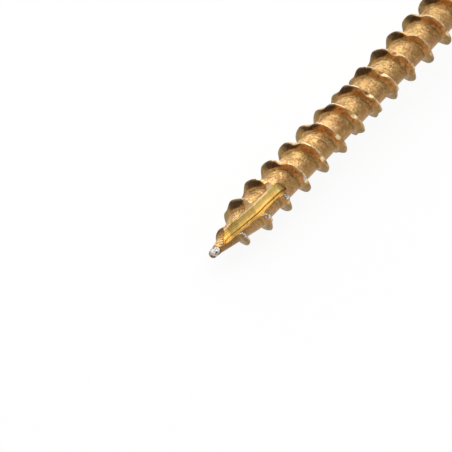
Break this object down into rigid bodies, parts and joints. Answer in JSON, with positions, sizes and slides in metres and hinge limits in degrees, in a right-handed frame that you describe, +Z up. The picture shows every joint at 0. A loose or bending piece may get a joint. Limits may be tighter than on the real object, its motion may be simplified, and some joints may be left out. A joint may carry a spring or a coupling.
{
  "type": "chipboard screw",
  "caption": "Yellow-plated steel chipboard screw: countersunk head with a cross recess, coarse thread with a notched crest and a flute cut in the tip",
  "frame": {"origin": "On the surface that the screw lies on, under the middle of its bounding box.", "axes": "+Z is up. The screw lies along X with its head at +X and its tip at -X, the axis sloping a few degrees down to the tip."},
  "size_m": [0.0502, 0.01, 0.01],
  "materials": {
    "yellow_zinc": "yellow zinc plating over steel, bright on the crests, worn bare at the tip"
  },
  "bodies": {
    "root": {"chipboard_screw": "yellow_zinc"}
  },
  "joints": []
}
